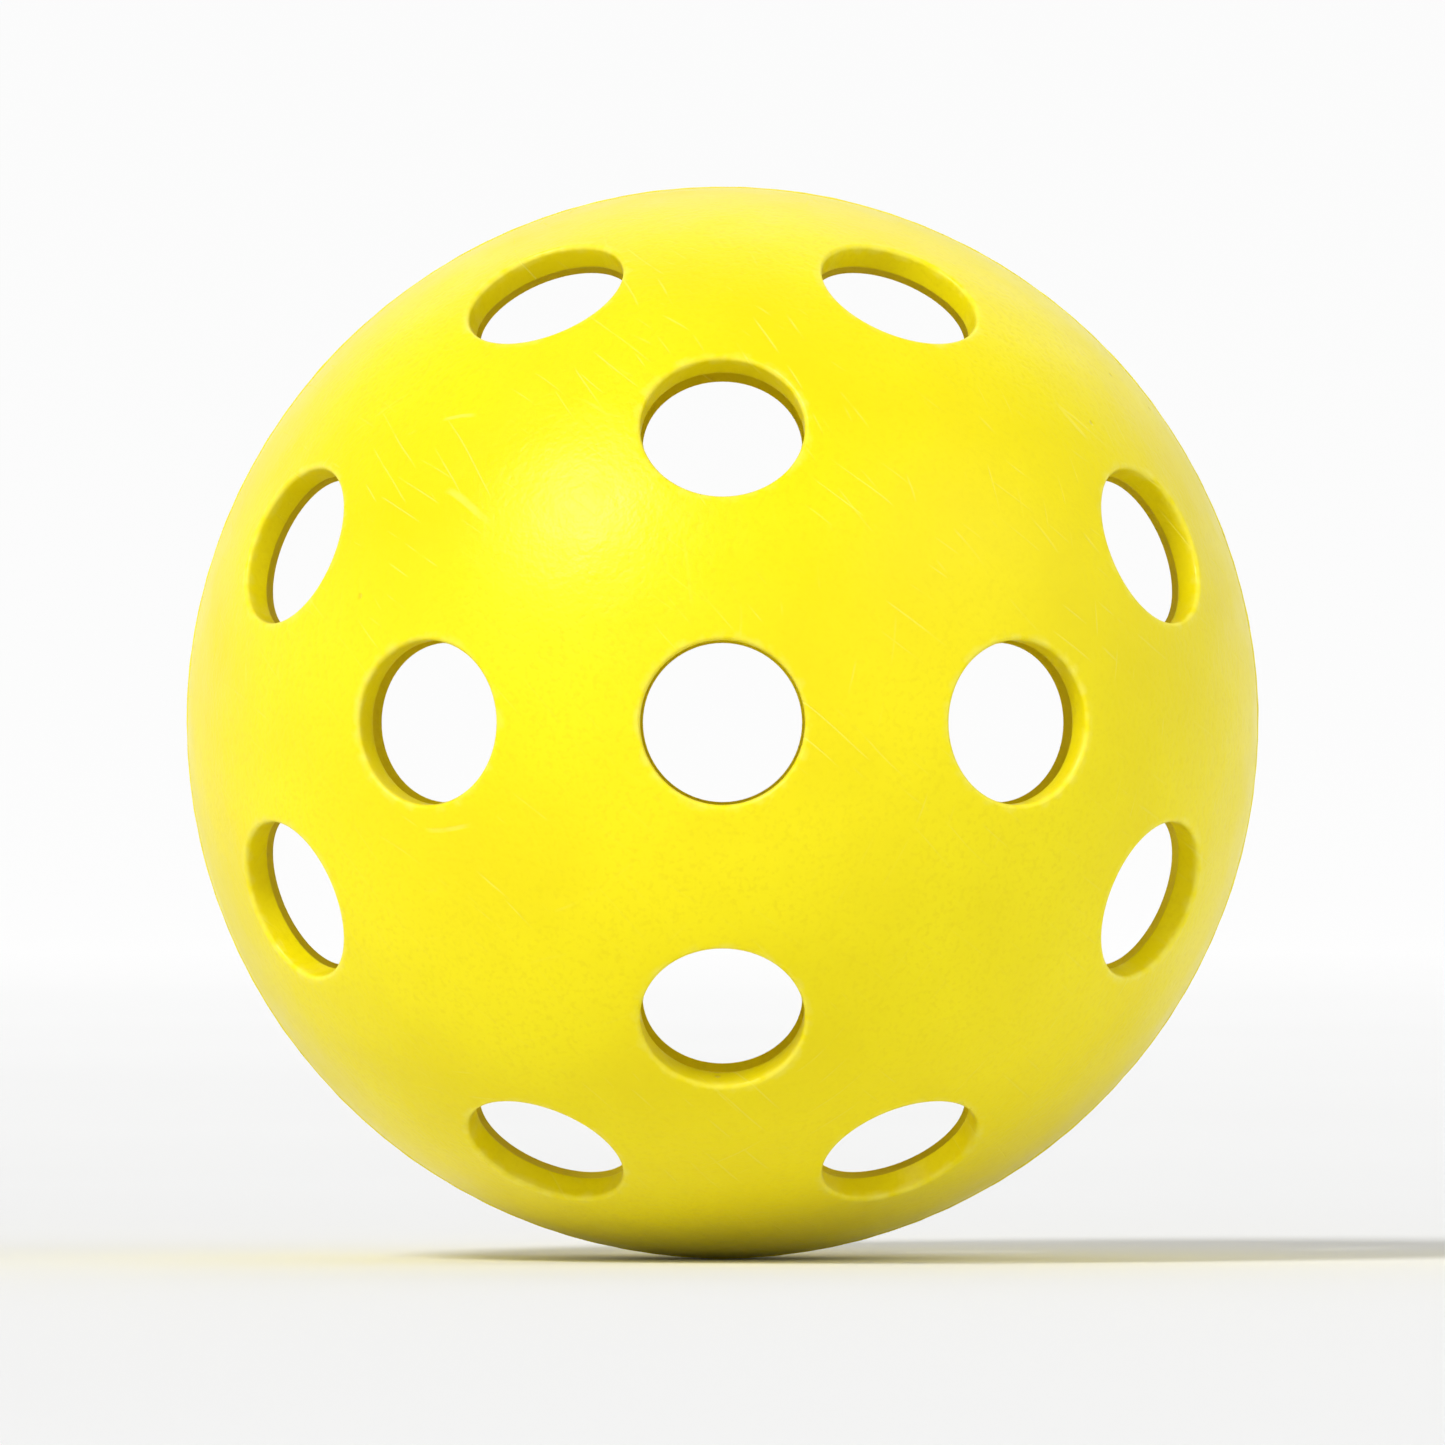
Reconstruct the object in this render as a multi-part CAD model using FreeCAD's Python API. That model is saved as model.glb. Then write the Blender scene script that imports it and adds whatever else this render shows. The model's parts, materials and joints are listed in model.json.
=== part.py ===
"""Indoor pickleball: a perforated hollow ball moulded as two half shells and welded at the equator.

Millimetres, +Z up. The origin is the ball's centre. The pole axis is Y: the front half shell has its
pole at -Y, the rear one at +Y, and they meet at the plane y = 0. Each half has a hole at its pole, an
inner ring of holes and an outer ring. The halves come from one hole layout and are welded hole to
hole, so a straight look along Y through any front hole goes out of the rear one.

The joint is a tongue and groove. The rear half's tongue sits in the front half's groove, and the melt
that bonds them fills the room round the tongue and is squeezed into a roll inside the ball. Outside, the
rims are relieved, and the melt stands in the shallow channel between them as a low trimmed bead.
"""

import FreeCAD, Part
import math
import os

# Driving dimensions
ball_diameter = 74.0
wall = 1.8
hole_diameter = 11.2
inner_ring_count = 4
outer_ring_count = 8
inner_ring_polar_deg = 33.5
outer_ring_polar_deg = 60.5
outer_edge_round = 0.3
inner_edge_round = 0.15

# Weld joint
land_thickness = 2.9
land_height = 3.0
land_taper_end = 6.5
land_gap = 0.2
groove_width = 1.1
groove_depth = 1.5
tongue_width = 0.8
tongue_tip_room = 0.25
relief_depth = 0.1
relief_height = 0.8
bead_width = 1.0
bead_height = 0.12
roll_width = 1.3
roll_height = 0.9

# Worked out from those
outer_radius = ball_diameter / 2
inner_radius = outer_radius - wall
hole_radius = hole_diameter / 2
half_gap = land_gap / 2
land_radius = outer_radius - land_thickness
joint_radius = outer_radius - land_thickness / 2
groove_floor = half_gap + groove_depth
tongue_tip = groove_floor - tongue_tip_room
front = -1
rear = 1

# The revolved faces begin at this turn about Y, which runs between the holes
seam_turn_deg = 45.0
through_wall = 3.0
rim_tolerance = 0.01
parts_folder = "parts"


def on_sphere(radius, y):
    """Distance from the pole axis of a sphere's surface at height y."""
    return math.sqrt(radius**2 - y**2)


def relieved_rim(y):
    """Distance from the pole axis of a rim's relieved outer edge, at height y from the weld plane."""
    low = on_sphere(outer_radius, half_gap) - relief_depth
    high = on_sphere(outer_radius, relief_height)
    return low + (high - low) * (y - half_gap) / (relief_height - half_gap)


def section_point(rho, y):
    """A point of a section drawn beside the pole axis: rho from the axis, y along it."""
    turn = math.radians(seam_turn_deg)
    return FreeCAD.Vector(rho * math.cos(turn), y, rho * math.sin(turn))


def line(start, end):
    return Part.LineSegment(section_point(*start), section_point(*end)).toShape()


def arc(start, middle, end):
    return Part.Arc(section_point(*start), section_point(*middle), section_point(*end)).toShape()


def sphere_arc(radius, y_start, y_end):
    """An arc of the sphere's section from one height to another."""
    a_start = math.asin(y_start / radius)
    a_end = math.asin(y_end / radius)
    angles = (a_start, (a_start + a_end) / 2, a_end)
    return arc(*((radius * math.cos(a), radius * math.sin(a)) for a in angles))


def chain(points):
    return [line(a, b) for a, b in zip(points, points[1:])]


def revolve(edges):
    """The closed section turned about the pole axis."""
    face = Part.Face(Part.Wire(Part.__sortEdges__(edges)))
    solid = face.revolve(FreeCAD.Vector(0, 0, 0), FreeCAD.Vector(0, 1, 0), 360)
    if solid.Volume < 0:
        solid.reverse()
    return solid


def hole_axis(polar_deg, turn_deg, side):
    """The direction of a hole: its angle from the pole, and its turn about Y from +X."""
    polar = math.radians(polar_deg)
    turn = math.radians(turn_deg)
    out = math.sin(polar)
    return FreeCAD.Vector(out * math.cos(turn), side * math.cos(polar), out * math.sin(turn))


def ring_holes(side):
    """Axes of the holes of both rings. The outer ring straddles the inner ring's holes."""
    inner_step = 360.0 / inner_ring_count
    outer_step = 360.0 / outer_ring_count
    axes = [hole_axis(inner_ring_polar_deg, k * inner_step, side) for k in range(inner_ring_count)]
    for k in range(outer_ring_count):
        axes.append(hole_axis(outer_ring_polar_deg, (k + 0.5) * outer_step, side))
    return axes


def land_outline(side, joint_points):
    """The section of a half shell's rim, from the outer surface round to the inner one."""
    gap = side * half_gap
    taper = side * land_taper_end
    points = [(relieved_rim(relief_height), side * relief_height), (relieved_rim(half_gap), gap)]
    points += joint_points
    points += [
        (land_radius, gap),
        (land_radius, side * land_height),
        (on_sphere(inner_radius, taper), taper),
    ]
    return chain(points)


def half_shell(side, joint_points):
    """One moulded half: a thick-rimmed hemisphere with a hole at the pole and two rings of holes."""
    pole_outer = side * on_sphere(outer_radius, hole_radius)
    pole_inner = side * on_sphere(inner_radius, hole_radius)
    edges = [
        sphere_arc(outer_radius, side * relief_height, pole_outer),
        line((hole_radius, pole_outer), (hole_radius, pole_inner)),
        sphere_arc(inner_radius, pole_inner, side * land_taper_end),
    ]
    shell = revolve(edges + land_outline(side, joint_points))
    drills = []
    for axis in ring_holes(side):
        base = axis * (inner_radius - through_wall)
        drills.append(Part.makeCylinder(hole_radius, wall + 2 * through_wall, base, axis))
    return rounded(shell.cut(Part.makeCompound(drills)).Solids[0])


def rim_edges(shell, radius):
    """The round edges where the holes break a sphere of this radius."""
    length = 2 * math.pi * hole_radius
    found = []
    for edge in shell.Edges:
        on_this_sphere = abs(edge.valueAt(edge.FirstParameter).Length - radius) < rim_tolerance
        if on_this_sphere and abs(edge.Length - length) < rim_tolerance:
            found.append(edge)
    return found


def rounded(shell):
    """The shell with both edges of every hole rounded."""
    shell = shell.makeFillet(outer_edge_round, rim_edges(shell, outer_radius)).Solids[0]
    return shell.makeFillet(inner_edge_round, rim_edges(shell, inner_radius)).Solids[0]


def front_half_shell():
    """The half with the groove."""
    near = joint_radius - groove_width / 2
    far = joint_radius + groove_width / 2
    groove = [(far, -half_gap), (far, -groove_floor), (near, -groove_floor), (near, -half_gap)]
    return half_shell(front, groove)


def rear_half_shell():
    """The half with the tongue."""
    near = joint_radius - tongue_width / 2
    far = joint_radius + tongue_width / 2
    tongue = [(far, half_gap), (far, -tongue_tip), (near, -tongue_tip), (near, half_gap)]
    return half_shell(rear, tongue)


def weld_bead():
    """The melt between the halves: round the tongue, in a roll inside and in a low bead outside."""
    groove_near = joint_radius - groove_width / 2
    groove_far = joint_radius + groove_width / 2
    tongue_near = joint_radius - tongue_width / 2
    tongue_far = joint_radius + tongue_width / 2
    bead_edge = bead_width / 2
    bead_rho = relieved_rim(bead_edge)
    gap_rho = relieved_rim(half_gap)
    roll_edge = roll_width / 2
    edges = [
        arc((bead_rho, bead_edge), (outer_radius + bead_height, 0), (bead_rho, -bead_edge)),
        arc((land_radius, -roll_edge), (land_radius - roll_height, 0), (land_radius, roll_edge)),
    ]
    edges += chain([
        (bead_rho, -bead_edge),
        (gap_rho, -half_gap),
        (groove_far, -half_gap),
        (groove_far, -groove_floor),
        (groove_near, -groove_floor),
        (groove_near, -half_gap),
        (land_radius, -half_gap),
        (land_radius, -roll_edge),
    ])
    edges += chain([
        (land_radius, roll_edge),
        (land_radius, half_gap),
        (tongue_near, half_gap),
        (tongue_near, -tongue_tip),
        (tongue_far, -tongue_tip),
        (tongue_far, half_gap),
        (gap_rho, half_gap),
        (bead_rho, bead_edge),
    ])
    return revolve(edges)


def main():
    os.makedirs(parts_folder, exist_ok=True)
    pieces = {
        "front_half_shell": front_half_shell(),
        "rear_half_shell": rear_half_shell(),
        "weld_bead": weld_bead(),
    }
    for name, shape in pieces.items():
        shape.exportStep(os.path.join(parts_folder, name + ".step"))
        print(name, "valid", shape.isValid(), "volume mm3", round(shape.Volume, 1), "faces", len(shape.Faces))
    total = sum(shape.Volume for shape in pieces.values())
    print("material mm3", round(total, 1))


main()
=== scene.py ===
import json
import math
import random

import bmesh
import bpy
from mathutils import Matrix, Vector
from mathutils.geometry import delaunay_2d_cdt


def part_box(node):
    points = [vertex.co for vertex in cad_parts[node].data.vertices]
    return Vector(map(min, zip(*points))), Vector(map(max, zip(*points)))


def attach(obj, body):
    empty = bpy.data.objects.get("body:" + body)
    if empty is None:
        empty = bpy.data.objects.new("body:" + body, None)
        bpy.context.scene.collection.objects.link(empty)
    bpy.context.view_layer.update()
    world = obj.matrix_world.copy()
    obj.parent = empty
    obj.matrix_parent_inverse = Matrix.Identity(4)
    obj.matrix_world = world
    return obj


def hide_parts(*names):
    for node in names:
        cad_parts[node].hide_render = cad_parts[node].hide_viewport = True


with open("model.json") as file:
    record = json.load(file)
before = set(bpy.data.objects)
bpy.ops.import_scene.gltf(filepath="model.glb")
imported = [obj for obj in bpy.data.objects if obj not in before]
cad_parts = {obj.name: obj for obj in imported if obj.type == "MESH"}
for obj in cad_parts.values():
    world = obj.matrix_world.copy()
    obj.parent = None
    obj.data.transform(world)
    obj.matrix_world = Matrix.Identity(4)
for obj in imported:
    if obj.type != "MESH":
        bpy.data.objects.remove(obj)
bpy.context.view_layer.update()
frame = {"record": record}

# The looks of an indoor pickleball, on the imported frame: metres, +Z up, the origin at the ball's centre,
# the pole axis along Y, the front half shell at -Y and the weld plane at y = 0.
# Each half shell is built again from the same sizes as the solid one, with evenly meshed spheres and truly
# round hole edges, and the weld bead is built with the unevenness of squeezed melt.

random.seed(26)

# Sizes of the ball, taken from the frame
mm = 0.001
floor_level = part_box("weld_bead")[0].z
pole_hole = next(mount for mount in frame["record"]["mounts"] if mount["name"] == "front_pole_hole")
hole_radius = pole_hole["dims"]["r_mm"] * mm
front = -1
rear = 1

# Sizes of the half shells that the frame doesn't name, the same as in the solids
ball_radius = 37.0 * mm
wall = 1.8 * mm
inner_ring_count = 4
outer_ring_count = 8
inner_ring_polar_deg = 33.5
outer_ring_polar_deg = 60.5
inner_ring_start_steps = 0
outer_ring_start_steps = 0.5
outer_edge_round = 0.3 * mm
inner_edge_round = 0.15 * mm
half_gap = 0.1 * mm
relief_depth = 0.1 * mm
relief_height = 0.8 * mm
land_thickness = 2.9 * mm
land_height = 3.0 * mm
land_taper_end = 6.5 * mm
groove_half_width = 0.55 * mm
groove_depth = 1.5 * mm
tongue_half_width = 0.4 * mm
tongue_tip_room = 0.25 * mm

# Worked out from those
inner_radius = ball_radius - wall
land_radius = ball_radius - land_thickness
joint_radius = ball_radius - land_thickness / 2
groove_floor = half_gap + groove_depth
tongue_tip = groove_floor - tongue_tip_room

# Weld bead: a low trimmed line outside and a lumpy roll inside
bead_half_width = 0.5 * mm
bead_height = 0.12 * mm
bead_flat_share = 0.55
bead_sink = 0.03 * mm
roll_half_width = 0.65 * mm
roll_height = 0.9 * mm
bead_arc_steps = 12
roll_arc_steps = 12

# How uneven the melt is: its mean share of the full height and width, how far they swing, the waves that
# they swing in, and how far the width's waves and the roll's drift are turned from the others, in radians
bead_height_share = 0.7
bead_height_swing = 0.3
bead_width_share = 0.88
bead_width_swing = 0.15
roll_height_share = 0.75
roll_height_swing = 0.25
roll_width_share = 0.85
roll_width_swing = 0.15
weld_drift = 0.08 * mm
bead_width_lag = 1
roll_width_lag = 2
roll_drift_lag = 1
least_wave_size = 0.5
bead_waves = (5, 11, 19, 37, 71, 113)
roll_waves = (4, 9, 23, 41, 67, 97)
drift_waves = (3, 7, 13, 29)

# How finely the surfaces are meshed
hole_steps = 72
edge_arc_steps = 6
hole_wall_steps = 4
seam_steps = 288
weld_steps = 576
surface_spacing = 1.3 * mm
spiral_clearance = 0.9 * mm
apron_offsets = (0.35 * mm, 0.8 * mm, 1.4 * mm)
apron_steps = (72, 60, 48)
seam_offsets = (0.4 * mm, 0.9 * mm, 1.6 * mm)
sharp_angle = math.radians(35)
flat_tolerance = 1e-7

# How far from a hole's edge, or from the weld plane, the plastic looks different
rim_reach = 1.3 * mm
seam_reach = 2.2 * mm

# Colours
white = (1, 1, 1, 1)
black = (0, 0, 0, 1)
yellow = (0.92, 0.795, 0.003, 1)
deep_yellow = (0.85, 0.710, 0.002, 1)
# Dust in nicks, and dust with painted shade in the seam's relieved channel
dust_and_shade_yellow = (0.62, 0.480, 0.010, 1)
worn_yellow = (0.94, 0.850, 0.140, 1)
paper = (0.800, 0.800, 0.795, 1)
pale_paper = (0.820, 0.820, 0.815, 1)

# The plastic, which is slightly translucent
plastic_ior = 1.5
glow_radius = (1.0, 0.75, 0.1)
glow_depth = 1.2 * mm
shell_glow = 0.10
shell_gloss = 0.20
weld_glow = 0.12
weld_gloss = 0.5

# Textures: how many features they have in a metre, how much finer detail, and how deep their relief is
mottle_scale = 55
patch_scale = 60
nick_patch_scale = 130
hairline_scale = 170
hairline_break_scale = 210
nick_scale = 240
smear_scale = 260
peel_scale = 380
rim_patch_scale = 900
grain_scale = 2600
weld_flow_scale = 380
weld_smear_scale = 700
weld_lump_scale = 900
weld_grain_scale = 4200
paper_tone_scale = 3
paper_tooth_scale = 1400
plain_detail = 2.0
cloudy_detail = 3.0
smear_detail = 4.0
peel_depth = 0.06 * mm
grain_depth = 0.03 * mm
hairline_depth = 0.02 * mm
nick_depth = 0.08 * mm
weld_lump_depth = 0.03 * mm
weld_grain_depth = 0.008 * mm
paper_tooth_depth = 0.02 * mm
hairline_bend = 3.0
hairline_bend_scale = 0.35
hairline_turns = ((0.3, 0.9, 0.2), (1.1, 0.2, 0.7), (0.5, 0.4, 2.2))

# Where each feature begins among its texture's values, and where it is full
mottle_ends = (0.35, 0.70)
# Painted shade: where the grain's low spots begin to darken, and where they are darkest
pit_shade_ends = (0.50, 0.30)
rim_patch_ends = (0.30, 0.70)
rim_ends = (0.35, 1.0)
# The seam's channel: partly dust and partly painted shade
channel_dust_and_shade_ends = (0.60, 0.72)
patch_ends = (0.45, 0.60)
hairline_ends = (0.985, 0.998)
hairline_break_ends = (0.56, 0.66)
nick_ends = (0.065, 0.020)
nick_patch_ends = (0.58, 0.62)
smear_ends = (0.30, 0.70)
flow_ends = (0.35, 0.65)
tone_ends = (0.30, 0.70)

# How strongly each feature shows, or from how little to how much
# Painted shade in the grain's pits: from none to this much deep yellow
pit_shade_tint = (0, 0.6)
# Dust and painted shade in the seam's channel: from none to this much
channel_dust_and_shade_tint = (0, 0.8)
rim_tint = (0, 0.7)
hairline_tint = 0.4
nick_tint = 0.5
rim_patch_share = (0.35, 1)
scuff_patch_share = (0.15, 1)
shell_roughness = (0.30, 0.40)
weld_roughness = (0.26, 0.42)
hairline_roughness = 0.2
rim_polish = 0.1
paper_roughness = 0.9
paper_gloss = 0.1

# The studio: a round sheet of paper that turns into a lit backdrop, and the glow of the air
lit_from = 0.15
lit_fully_from = 3.0
backdrop_glow = 0.96
floor_middle_radius = 0.3
floor_flat_radius = 2.6
sweep_radius = 0.9
wall_rise = 0.8
sweep_steps = 24
stage_steps = 128
air_glow = 0.40

# The lights: name, direction that it comes from, strength and spread in degrees
suns = (
    ("key_light", (-0.45, -0.55, 0.70), 1.95, 16),
    ("fill_light", (0.80, -0.45, 0.35), 1.0, 60),
    ("back_light", (0.10, 0.85, 0.50), 0.7, 60),
)

# The camera: a long lens on the pole axis
lens_mm = 700.0
sensor_mm = 36.0
ball_share_of_frame = 0.74
camera_near = 0.05
camera_far = 20.0


def on_sphere(radius, distance):
    """How far along an axis a sphere's surface lies, at this distance from the axis."""
    return math.sqrt(radius**2 - distance**2)


def relieved_rim(height):
    """How far from the pole axis a rim's relieved outer edge is, at this height from the weld plane."""
    low = on_sphere(ball_radius, half_gap) - relief_depth
    high = on_sphere(ball_radius, relief_height)
    return low + (high - low) * (height - half_gap) / (relief_height - half_gap)


def pole(side):
    """The direction from the ball's centre to the middle of one half."""
    return Vector((0, side, 0))


def hole_axes(side):
    """The directions of one half's holes: the pole's, the inner ring's and the outer ring's."""
    rings = (
        (inner_ring_polar_deg, inner_ring_count, inner_ring_start_steps),
        (outer_ring_polar_deg, outer_ring_count, outer_ring_start_steps),
    )
    axes = [pole(side)]
    for polar_deg, count, start_steps in rings:
        polar = math.radians(polar_deg)
        for k in range(count):
            turn = math.tau * (k + start_steps) / count
            out = math.sin(polar)
            axes.append(Vector((out * math.cos(turn), side * math.cos(polar), out * math.sin(turn))))
    return axes


def row(bm, axis, reach, height, count):
    """A closed row of vertices: a circle round an axis through the ball's centre.

    reach is the distance from the axis and height the place along it. Either can be a function of the turn.
    """
    first = axis.orthogonal().normalized()
    second = axis.cross(first)
    made = []
    for k in range(count):
        turn = math.tau * k / count
        out = reach(turn) if callable(reach) else reach
        along = height(turn) if callable(height) else height
        made.append(bm.verts.new(axis * along + (first * math.cos(turn) + second * math.sin(turn)) * out))
    return made


def skin(bm, rows):
    """Quads from each row to the next."""
    for low, high in zip(rows, rows[1:]):
        count = len(low)
        for k in range(count):
            after = (k + 1) % count
            bm.faces.new((low[k], low[after], high[after], high[k]))


def edge_profile(radius, rounding, outwards):
    """Section points (reach, height) of a hole's rounded edge, from the sphere to the hole's wall.

    outwards is 1 where the sphere is the outer one, and -1 where it is the inner one.
    """
    middle_reach = hole_radius + rounding
    middle_radius = radius - outwards * rounding
    middle_height = on_sphere(middle_radius, middle_reach)
    start = math.atan2(outwards * middle_height, outwards * middle_reach)
    end = math.pi if outwards > 0 else -math.pi
    points = []
    for k in range(edge_arc_steps + 1):
        angle = start + (end - start) * k / edge_arc_steps
        reach = middle_reach + rounding * math.cos(angle)
        points.append((reach, middle_height + rounding * math.sin(angle)))
    return points


def hole(bm, axis):
    """The wall of one hole with both its edges. Returns its rows on the outer and on the inner sphere."""
    outer_edge = edge_profile(ball_radius, outer_edge_round, 1)
    inner_edge = edge_profile(inner_radius, inner_edge_round, -1)[::-1]
    top = outer_edge[-1][1]
    bottom = inner_edge[0][1]
    section = list(outer_edge)
    for k in range(1, hole_wall_steps):
        section.append((hole_radius, top + (bottom - top) * k / hole_wall_steps))
    section += inner_edge
    rows = [row(bm, axis, reach, height, hole_steps) for reach, height in section]
    skin(bm, rows)
    return rows[0], rows[-1]


def spiral_points(radius, side):
    """Points spread evenly over a half sphere along a spiral."""
    golden_turn = math.pi * (3 - math.sqrt(5))
    count = round(2 * math.pi * radius**2 / (surface_spacing**2 * math.sqrt(3) / 2))
    points = []
    for k in range(count):
        along = (k + 0.5) / count
        out = math.sqrt(1 - along**2)
        turn = golden_turn * k
        points.append(Vector((out * math.cos(turn), side * along, out * math.sin(turn))) * radius)
    return points


def flattened(point, side):
    """The point projected from the far pole, which keeps circles round and an even mesh even."""
    return Vector((point.x, point.z)) / (point.length + side * point.y)


def sheet(bm, side, radius, border, hole_rows):
    """Triangles over a half sphere, between its border row and the rows round its holes."""
    axes = hole_axes(side)
    fixed = [border] + hole_rows
    loose = []
    hole_angle = axes[0].angle(hole_rows[0][0].co)
    border_angle = pole(side).angle(border[0].co)
    for axis in axes:
        for offset, count in zip(apron_offsets, apron_steps):
            angle = hole_angle + offset / radius
            loose += row(bm, axis, radius * math.sin(angle), radius * math.cos(angle), count)
    for offset in seam_offsets:
        angle = border_angle - offset / radius
        loose += row(bm, pole(side), radius * math.sin(angle), radius * math.cos(angle), len(border))
    hole_clearance = hole_angle + (apron_offsets[-1] + spiral_clearance) / radius
    border_clearance = border_angle - (seam_offsets[-1] + spiral_clearance) / radius
    for point in spiral_points(radius, side):
        clear_of_holes = all(axis.angle(point) > hole_clearance for axis in axes)
        if clear_of_holes and pole(side).angle(point) < border_clearance:
            loose.append(bm.verts.new(point))

    corners = [corner for one in fixed for corner in one] + loose
    owner = {corner: k for k, one in enumerate(fixed) for corner in one}
    edges = []
    start = 0
    for one in fixed:
        count = len(one)
        edges += [(start + k, start + (k + 1) % count) for k in range(count)]
        start += count
    flat = [flattened(corner.co, side) for corner in corners]
    _, _, triangles, sources, _, _ = delaunay_2d_cdt(flat, edges, [], 0, flat_tolerance)
    for triangle in triangles:
        picked = [corners[sources[k][0]] for k in triangle]
        owners = {owner.get(corner, -1) for corner in picked}
        inside_a_hole = len(owners) == 1 and owners.pop() > 0
        if not inside_a_hole:
            bm.faces.new(picked)


def store_wear_and_shade(bm, side):
    """Two values on every vertex, from 0 to 1: how near it is to a hole's outer edge, and to the seam."""
    rim_layer = bm.verts.layers.float.new("rim")
    seam_layer = bm.verts.layers.float.new("seam")
    axes = hole_axes(side)
    edge_height = on_sphere(ball_radius, hole_radius)
    for corner in bm.verts:
        nearest = rim_reach
        for axis in axes:
            along = corner.co.dot(axis)
            if along < 0:
                continue
            out = (corner.co - axis * along).length
            nearest = min(nearest, math.hypot(out - hole_radius, along - edge_height))
        corner[rim_layer] = 1 - nearest / rim_reach
        corner[seam_layer] = max(0.0, 1 - abs(corner.co.y) / seam_reach)


def finished_piece(bm, name, node, material):
    """A shown object from a finished bmesh, which stands for a CAD node."""
    bmesh.ops.recalc_face_normals(bm, faces=bm.faces)
    mesh = bpy.data.meshes.new(name)
    bm.to_mesh(mesh)
    bm.free()
    mesh.shade_smooth()
    mesh.set_sharp_from_angle(angle=sharp_angle)
    mesh.materials.append(material)
    piece = bpy.data.objects.new(name, mesh)
    bpy.context.scene.collection.objects.link(piece)
    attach(piece, "root")
    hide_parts(node)


def half_shell(name, node, side, joint, material):
    """A half shell: rows for the rim's section, a wall for each hole, and a sheet on each sphere."""
    bm = bmesh.new()
    holes = [hole(bm, axis) for axis in hole_axes(side)]
    section = [(on_sphere(ball_radius, relief_height), relief_height), (relieved_rim(half_gap), half_gap)]
    section += joint
    section += [
        (land_radius, half_gap),
        (land_radius, land_height),
        (on_sphere(inner_radius, land_taper_end), land_taper_end),
    ]
    rim = [row(bm, pole(side), reach, height, seam_steps) for reach, height in section]
    skin(bm, rim)
    sheet(bm, side, ball_radius, rim[0], [outer for outer, _ in holes])
    sheet(bm, side, inner_radius, rim[-1], [inner for _, inner in holes])
    store_wear_and_shade(bm, side)
    finished_piece(bm, name, node, material)


def groove():
    """The joint's section on the front half: heights count away from the weld plane."""
    near = joint_radius - groove_half_width
    far = joint_radius + groove_half_width
    return [(far, half_gap), (far, groove_floor), (near, groove_floor), (near, half_gap)]


def tongue():
    """The joint's section on the rear half, which reaches across the weld plane."""
    near = joint_radius - tongue_half_width
    far = joint_radius + tongue_half_width
    return [(far, half_gap), (far, -tongue_tip), (near, -tongue_tip), (near, half_gap)]


def ripple(waves):
    """A smooth random value from -1 to 1 that follows the turn round the ring and closes on itself."""
    parts = [(count, random.uniform(0, math.tau), random.uniform(least_wave_size, 1)) for count in waves]
    total = sum(size for _, _, size in parts)

    def value(turn):
        return sum(size * math.sin(count * turn + start) for count, start, size in parts) / total

    return value


def bead_row(share, unevenness, drift):
    """Reach and height of one row of the outer bead. share runs from -1 to 1 across the bead."""
    edge = relieved_rim(bead_half_width) - bead_sink
    rise = math.sqrt(min(1, (1 - abs(share)) / (1 - bead_flat_share)))

    def reach(turn):
        top = ball_radius + bead_height * (bead_height_share + bead_height_swing * unevenness(turn))
        return edge + (top - edge) * rise

    def height(turn):
        width_share = bead_width_share + bead_width_swing * unevenness(turn + bead_width_lag)
        return bead_half_width * share * width_share + weld_drift * drift(turn)

    return reach, height


def roll_row(angle, unevenness, drift):
    """Reach and height of one row of the inner roll. angle runs over half a turn round its section."""

    def reach(turn):
        height_share = roll_height_share + roll_height_swing * unevenness(turn)
        return land_radius - roll_height * math.sin(angle) * height_share

    def height(turn):
        width_share = roll_width_share + roll_width_swing * unevenness(turn + roll_width_lag)
        return roll_half_width * math.cos(angle) * width_share + weld_drift * drift(turn + roll_drift_lag)

    return reach, height


def weld_bead(material):
    """The weld: an uneven bead outside, an uneven roll inside, and the filling round the tongue."""
    bead_unevenness = ripple(bead_waves)
    roll_unevenness = ripple(roll_waves)
    drift = ripple(drift_waves)
    under = relieved_rim(half_gap) - bead_sink
    section = []
    for k in range(bead_arc_steps + 1):
        section.append(bead_row(-1 + 2 * k / bead_arc_steps, bead_unevenness, drift))
    section += [
        (under, half_gap),
        (joint_radius + tongue_half_width, half_gap),
        (joint_radius + tongue_half_width, -tongue_tip),
        (joint_radius - tongue_half_width, -tongue_tip),
        (joint_radius - tongue_half_width, half_gap),
        (land_radius, half_gap),
    ]
    for k in range(roll_arc_steps + 1):
        section.append(roll_row(math.pi * k / roll_arc_steps, roll_unevenness, drift))
    section += [
        (land_radius, -half_gap),
        (joint_radius - groove_half_width, -half_gap),
        (joint_radius - groove_half_width, -groove_floor),
        (joint_radius + groove_half_width, -groove_floor),
        (joint_radius + groove_half_width, -half_gap),
        (under, -half_gap),
    ]
    bm = bmesh.new()
    rows = [row(bm, pole(rear), reach, height, weld_steps) for reach, height in section]
    skin(bm, rows + rows[:1])
    finished_piece(bm, "weld_ring", "weld_bead", material)


def add_node(tree, kind, inputs=None, **settings):
    """A shader node with its settings and unlinked input values."""
    made = tree.nodes.new(kind)
    for name, value in settings.items():
        setattr(made, name, value)
    for name, value in (inputs or {}).items():
        made.inputs[name].default_value = value
    return made


def new_material(name):
    """An empty node material. Returns it with its tree, its surface shader and its object coordinates."""
    material = bpy.data.materials.new(name)
    material.use_nodes = True
    tree = material.node_tree
    tree.nodes.clear()
    output = add_node(tree, "ShaderNodeOutputMaterial")
    shader = add_node(tree, "ShaderNodeBsdfPrincipled")
    tree.links.new(shader.outputs["BSDF"], output.inputs["Surface"])
    places = add_node(tree, "ShaderNodeTexCoord").outputs["Object"]
    return material, tree, shader, places


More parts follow.
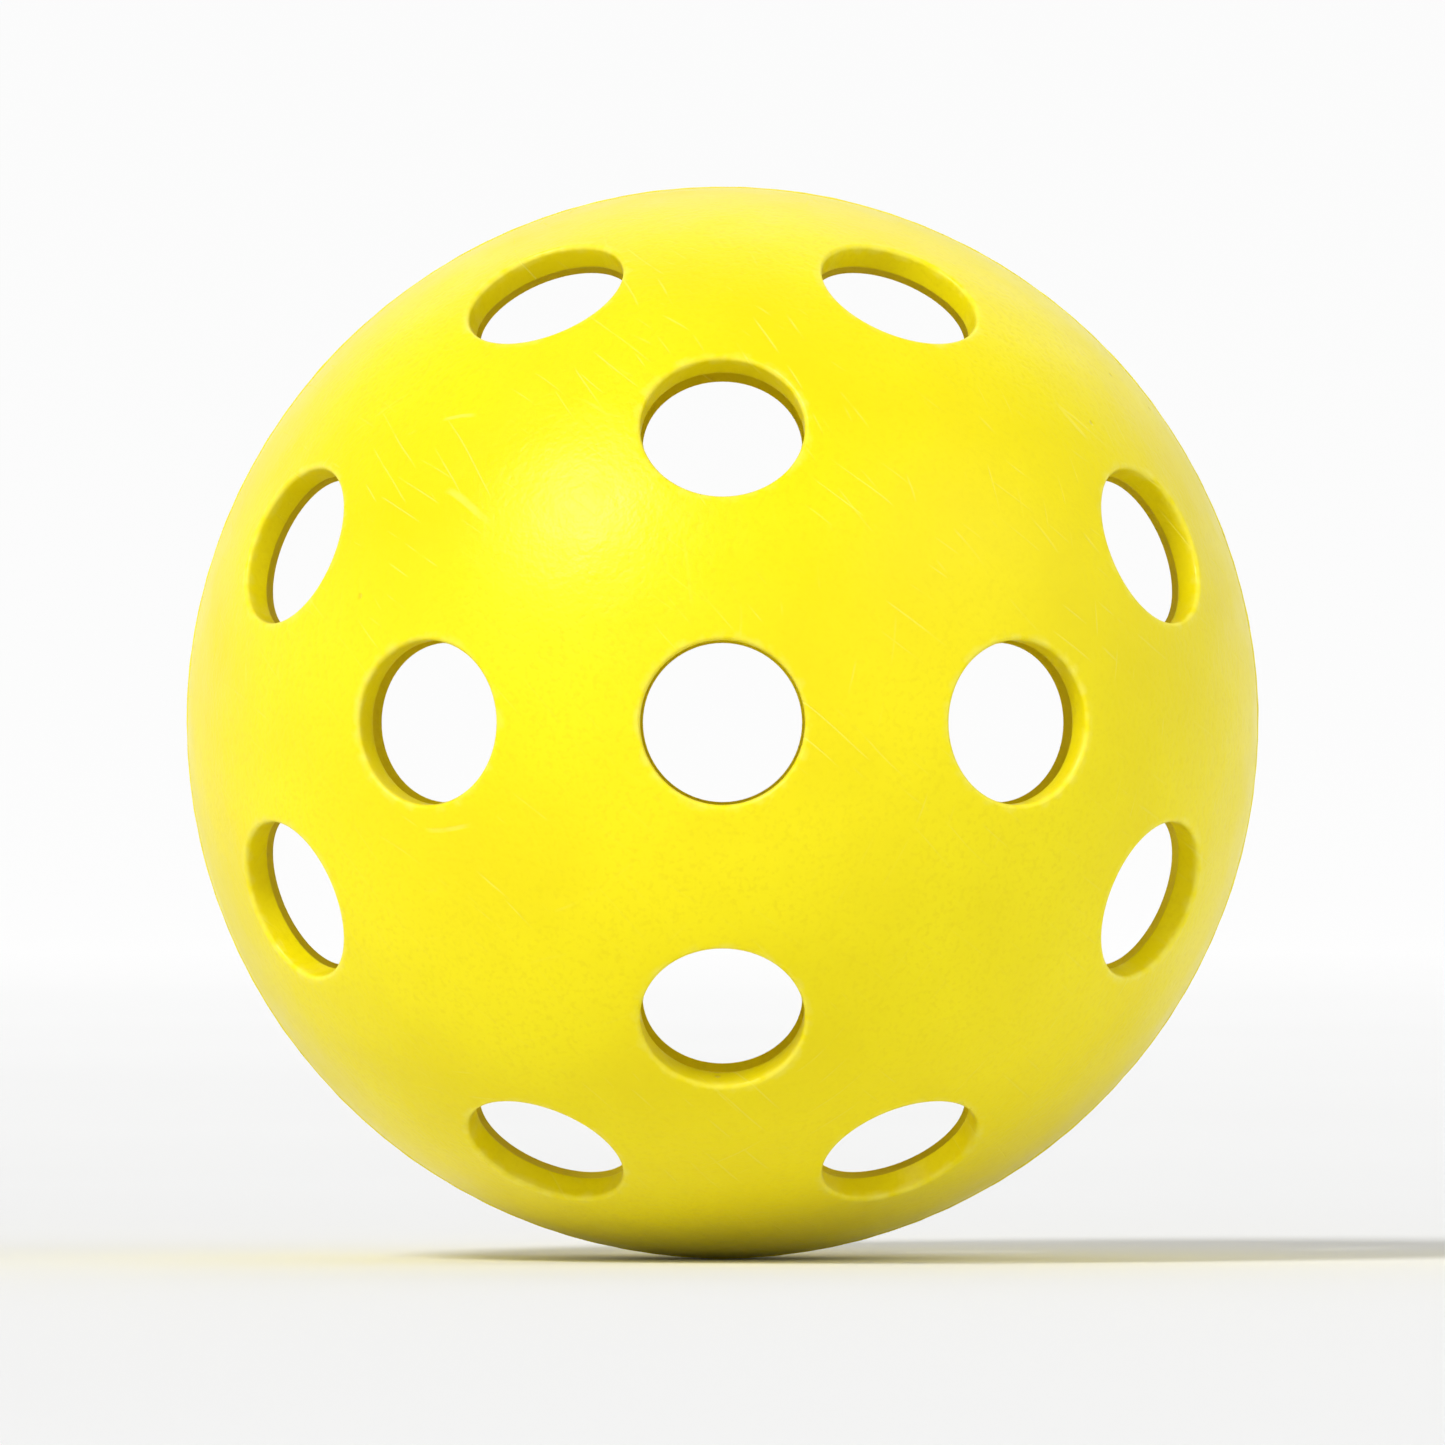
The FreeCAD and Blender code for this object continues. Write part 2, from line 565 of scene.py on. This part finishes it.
def noise(tree, places, features_per_metre, detail=plain_detail):
    """A cloudy texture from 0 to 1."""
    made = add_node(tree, "ShaderNodeTexNoise", {"Scale": features_per_metre, "Detail": detail})
    tree.links.new(places, made.inputs["Vector"])
    return made.outputs["Fac"]


def ranged(tree, value, ends, results=(0, 1)):
    """The value carried from between its two ends to between the two results, and held at those."""
    values = {"From Min": ends[0], "From Max": ends[1], "To Min": results[0], "To Max": results[1]}
    made = add_node(tree, "ShaderNodeMapRange", values)
    tree.links.new(value, made.inputs["Value"])
    return made.outputs["Result"]


def joined(tree, operation, first, second):
    """Two values joined by a math operation. The second can be a plain number."""
    made = add_node(tree, "ShaderNodeMath", operation=operation)
    tree.links.new(first, made.inputs[0])
    if isinstance(second, (int, float)):
        made.inputs[1].default_value = second
    else:
        tree.links.new(second, made.inputs[1])
    return made.outputs["Value"]


def colour_mix(tree, share, first, second):
    """A colour between two others. Each is a colour or the output of an earlier mix."""
    made = add_node(tree, "ShaderNodeMix", data_type="RGBA")
    tree.links.new(share, made.inputs["Factor"])
    for socket, colour in (("A", first), ("B", second)):
        target = next(one for one in made.inputs if one.name == socket and one.type == "RGBA")
        if isinstance(colour, tuple):
            target.default_value = colour
        else:
            tree.links.new(colour, target)
    return next(one for one in made.outputs if one.type == "RGBA")


def bumped(tree, heights):
    """One bump on another: pairs of a height texture and its depth in metres."""
    normal = None
    for height, depth in heights:
        made = add_node(tree, "ShaderNodeBump", {"Strength": 1.0, "Distance": depth})
        tree.links.new(height, made.inputs["Height"])
        if normal is not None:
            tree.links.new(normal, made.inputs["Normal"])
        normal = made.outputs["Normal"]
    return normal


def stored(tree, name):
    """A value that the mesh carries on its vertices."""
    return add_node(tree, "ShaderNodeAttribute", attribute_name=name).outputs["Fac"]


def set_plastic(shader, glow, gloss):
    """Sets the values that are the same all over a moulded piece of this plastic."""
    shader.inputs["IOR"].default_value = plastic_ior
    shader.inputs["Specular IOR Level"].default_value = gloss
    shader.inputs["Subsurface Weight"].default_value = glow
    shader.inputs["Subsurface Radius"].default_value = glow_radius
    shader.inputs["Subsurface Scale"].default_value = glow_depth


def hairlines(tree, places, turn):
    """Broken, slightly curved hairline scratches, from 0 for none to 1. turn sets which way they run."""
    mapping = add_node(tree, "ShaderNodeMapping", {"Rotation": turn})
    tree.links.new(places, mapping.inputs["Vector"])
    values = {"Scale": hairline_scale, "Distortion": hairline_bend, "Detail Scale": hairline_bend_scale}
    waves = add_node(tree, "ShaderNodeTexWave", values)
    tree.links.new(mapping.outputs["Vector"], waves.inputs["Vector"])
    lines = ranged(tree, waves.outputs["Fac"], hairline_ends)
    breaks = ranged(tree, noise(tree, mapping.outputs["Vector"], hairline_break_scale), hairline_break_ends)
    return joined(tree, "MULTIPLY", lines, breaks)


def scuffs(tree, places):
    """Handling marks: scratches that run several ways, within patches."""
    total = hairlines(tree, places, hairline_turns[0])
    for turn in hairline_turns[1:]:
        total = joined(tree, "MAXIMUM", total, hairlines(tree, places, turn))
    patches = ranged(tree, noise(tree, places, patch_scale), patch_ends, scuff_patch_share)
    return joined(tree, "MULTIPLY", total, patches)


def nicks(tree, places):
    """Tiny round dents, from 0 for none to 1 at the middle, in only some of the cells they could fill."""
    cells = add_node(tree, "ShaderNodeTexVoronoi", {"Scale": nick_scale})
    tree.links.new(places, cells.inputs["Vector"])
    dents = ranged(tree, cells.outputs["Distance"], nick_ends)
    some = ranged(tree, noise(tree, places, nick_patch_scale), nick_patch_ends)
    return joined(tree, "MULTIPLY", dents, some)


def shell_plastic():
    """Satin yellow polyethylene: mottle, fine grain with painted shade in its pits, scratches, nicks, dust
    and painted shade in the seam's channel, and paler burnished hole edges.
    """
    material, tree, shader, places = new_material("shell_plastic")
    set_plastic(shader, shell_glow, shell_gloss)
    marks = scuffs(tree, places)
    dents = nicks(tree, places)
    grain = noise(tree, places, grain_scale)
    mottle = ranged(tree, noise(tree, places, mottle_scale, cloudy_detail), mottle_ends)
    # Painted shade: the grain's low spots are darkened as if shade fell in its pits
    pit_shade = ranged(tree, grain, pit_shade_ends, pit_shade_tint)
    patchy = ranged(tree, noise(tree, places, rim_patch_scale), rim_patch_ends, rim_patch_share)
    rim = ranged(tree, joined(tree, "MULTIPLY", stored(tree, "rim"), patchy), rim_ends, rim_tint)
    # Dust and painted shade: the relieved channel along the seam is darkened as if dusty and shaded
    channel_dust_and_shade = ranged(tree, stored(tree, "seam"), channel_dust_and_shade_ends, channel_dust_and_shade_tint)
    colour = colour_mix(tree, mottle, yellow, deep_yellow)
    colour = colour_mix(tree, pit_shade, colour, deep_yellow)
    colour = colour_mix(tree, channel_dust_and_shade, colour, dust_and_shade_yellow)
    colour = colour_mix(tree, joined(tree, "MULTIPLY", marks, hairline_tint), colour, worn_yellow)
    colour = colour_mix(tree, joined(tree, "MULTIPLY", dents, nick_tint), colour, dust_and_shade_yellow)
    colour = colour_mix(tree, rim, colour, worn_yellow)
    tree.links.new(colour, shader.inputs["Base Color"])

    peel = noise(tree, places, peel_scale)
    roughness = ranged(tree, noise(tree, places, smear_scale, smear_detail), smear_ends, shell_roughness)
    roughness = joined(tree, "ADD", roughness, joined(tree, "MULTIPLY", marks, hairline_roughness))
    roughness = joined(tree, "SUBTRACT", roughness, joined(tree, "MULTIPLY", rim, rim_polish))
    tree.links.new(roughness, shader.inputs["Roughness"])
    layers = ((peel, peel_depth), (grain, grain_depth), (marks, -hairline_depth), (dents, -nick_depth))
    tree.links.new(bumped(tree, layers), shader.inputs["Normal"])
    return material


def weld_plastic():
    """The same plastic where it has melted and set again: a touch deeper, glossier and more uneven."""
    material, tree, shader, places = new_material("weld_plastic")
    set_plastic(shader, weld_glow, weld_gloss)
    flow = ranged(tree, noise(tree, places, weld_flow_scale, cloudy_detail), flow_ends)
    tree.links.new(colour_mix(tree, flow, deep_yellow, yellow), shader.inputs["Base Color"])
    smears = noise(tree, places, weld_smear_scale, cloudy_detail)
    roughness = ranged(tree, smears, smear_ends, weld_roughness)
    tree.links.new(roughness, shader.inputs["Roughness"])
    lumps = noise(tree, places, weld_lump_scale, cloudy_detail)
    grain = noise(tree, places, weld_grain_scale)
    layers = ((lumps, weld_lump_depth), (grain, weld_grain_depth))
    tree.links.new(bumped(tree, layers), shader.inputs["Normal"])
    return material


def studio_white():
    """The floor's paper: pale and matte near the ball. Further out it turns into an evenly lit backdrop."""
    material, tree, shader, places = new_material("studio_white")
    tone = ranged(tree, noise(tree, places, paper_tone_scale), tone_ends)
    distance = add_node(tree, "ShaderNodeVectorMath", operation="LENGTH")
    tree.links.new(places, distance.inputs[0])
    lit = ranged(tree, distance.outputs["Value"], (lit_from, lit_fully_from))
    colour = colour_mix(tree, tone, paper, pale_paper)
    tree.links.new(colour_mix(tree, lit, colour, black), shader.inputs["Base Color"])
    tree.links.new(joined(tree, "MULTIPLY", lit, backdrop_glow), shader.inputs["Emission Strength"])
    shader.inputs["Emission Color"].default_value = white
    shader.inputs["Roughness"].default_value = paper_roughness
    shader.inputs["Specular IOR Level"].default_value = paper_gloss
    tooth = noise(tree, places, paper_tooth_scale)
    tree.links.new(bumped(tree, ((tooth, paper_tooth_depth),)), shader.inputs["Normal"])
    return material


def studio():
    """A round floor that sweeps up into a backdrop on every side, the same from wherever it is seen."""
    bm = bmesh.new()
    up = Vector((0, 0, 1))
    section = [(floor_middle_radius, floor_level), (floor_flat_radius, floor_level)]
    for k in range(1, sweep_steps + 1):
        angle = math.pi / 2 * k / sweep_steps
        out = floor_flat_radius + sweep_radius * math.sin(angle)
        section.append((out, floor_level + sweep_radius * (1 - math.cos(angle))))
    section.append((section[-1][0], section[-1][1] + wall_rise))
    rows = [row(bm, up, reach, height, stage_steps) for reach, height in section]
    bm.faces.new(rows[0])
    skin(bm, rows)
    bmesh.ops.recalc_face_normals(bm, faces=bm.faces)
    mesh = bpy.data.meshes.new("studio_floor")
    bm.to_mesh(mesh)
    bm.free()
    mesh.shade_smooth()
    mesh.materials.append(studio_white())
    floor = bpy.data.objects.new("studio_floor", mesh)
    bpy.context.scene.collection.objects.link(floor)


def soft_sun(name, towards, strength, spread_deg):
    """A broad, even light that shines from the direction given."""
    data = bpy.data.lights.new(name, "SUN")
    data.energy = strength
    data.angle = math.radians(spread_deg)
    lamp = bpy.data.objects.new(name, data)
    lamp.rotation_euler = Vector(towards).to_track_quat("Z", "Y").to_euler()
    bpy.context.scene.collection.objects.link(lamp)


def lights():
    """The suns, and white air that glows evenly all round."""
    for name, towards, strength, spread_deg in suns:
        soft_sun(name, towards, strength, spread_deg)
    world = bpy.data.worlds.new("studio_air")
    world.use_nodes = True
    sky = world.node_tree.nodes["Background"]
    sky.inputs["Color"].default_value = white
    sky.inputs["Strength"].default_value = air_glow
    bpy.context.scene.world = world


def camera():
    """A level camera in front of the front half's pole, so that the ball takes its share of the frame."""
    frame_width = 2 * ball_radius / ball_share_of_frame
    distance = frame_width * lens_mm / sensor_mm
    data = bpy.data.cameras.new("camera")
    data.lens = lens_mm
    data.sensor_width = sensor_mm
    data.clip_start = camera_near
    data.clip_end = camera_far
    shot = bpy.data.objects.new("camera", data)
    shot.location = pole(front) * distance
    shot.rotation_euler = (math.pi / 2, 0, 0)
    bpy.context.scene.collection.objects.link(shot)
    bpy.context.scene.camera = shot


def main():
    """The ball, its studio, lights and camera."""
    plastic = shell_plastic()
    half_shell("front_shell", "front_half_shell", front, groove(), plastic)
    half_shell("rear_shell", "rear_half_shell", rear, tongue(), plastic)
    weld_bead(weld_plastic())
    studio()
    lights()
    camera()
    bpy.context.scene.view_settings.view_transform = "Standard"


main()
